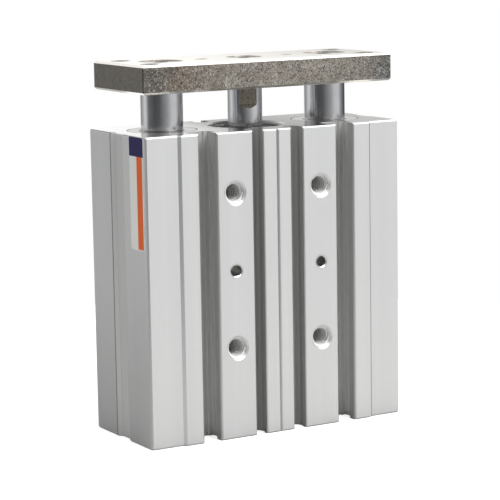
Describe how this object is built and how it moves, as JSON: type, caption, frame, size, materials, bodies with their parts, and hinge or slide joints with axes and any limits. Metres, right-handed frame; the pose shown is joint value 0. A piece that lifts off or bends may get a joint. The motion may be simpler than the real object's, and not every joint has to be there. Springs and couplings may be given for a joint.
{
  "type": "guided pneumatic cylinder",
  "caption": "Compact guided air cylinder: slotted aluminium body, piston rod between parallel guide rods, and a steel front plate that slides out along the body's axis.",
  "frame": {"origin": "centre of the body's base, on the surface that it stands on", "axes": "+Z along the rods, the way the plate slides out; -Y out of the face with the T-slots; +X towards the side with the plugged ports"},
  "size_m": [0.083, 0.036, 0.1063],
  "materials": {
    "anodised_aluminium": "clear anodised extrusion, satin",
    "cover_aluminium": "machined, clear anodised",
    "seal_rubber": "smooth nitrile",
    "clip_steel": "phosphated spring steel",
    "bearing_bronze": "sintered, oil filled",
    "plug_steel": "nickel plated",
    "oil_felt": "dense felt, oiled",
    "cap_steel": "fine turned",
    "plated_steel": "nickel plated, faintly mottled",
    "screw_steel": "nickel plated",
    "hard_chrome": "ground and hard chromed",
    "wear_plastic": "filled resin",
    "magnet_compound": "bonded magnet",
    "bumper_rubber": "cast urethane"
  },
  "bodies": {
    "housing": {"body": "anodised_aluminium", "rod_cover": "cover_aluminium", "rod_cover_seal_ring": "seal_rubber", "rod_cover_clip": "clip_steel", "rod_bush": "bearing_bronze", "rod_seal": "seal_rubber", "head_cover": "cover_aluminium", "head_cover_seal_ring": "seal_rubber", "head_cover_clip": "clip_steel", "port_plug_lower": "plug_steel", "port_plug_upper": "plug_steel", "guide_bush_upper_left": "bearing_bronze", "guide_bush_upper_right": "bearing_bronze", "guide_bush_lower_left": "bearing_bronze", "guide_bush_lower_right": "bearing_bronze", "guide_felt_left": "oil_felt", "guide_felt_right": "oil_felt", "guide_cap_left": "cap_steel", "guide_cap_right": "cap_steel"},
    "carriage": {"plate": "plated_steel", "rod_screw": "screw_steel", "piston_rod": "hard_chrome", "piston": "cover_aluminium", "piston_wear_band": "wear_plastic", "piston_magnet": "magnet_compound", "piston_seal": "seal_rubber", "front_bumper": "bumper_rubber", "rear_bumper": "bumper_rubber", "guide_rod_left": "hard_chrome", "guide_rod_right": "hard_chrome", "guide_screw_left": "screw_steel", "guide_screw_right": "screw_steel"}
  },
  "joints": [
    {"name": "plate_slide", "type": "slide", "parent": "housing", "child": "carriage", "axis": [0, 0, 1], "range_m": [-0.0033, 0.0467]}
  ]
}
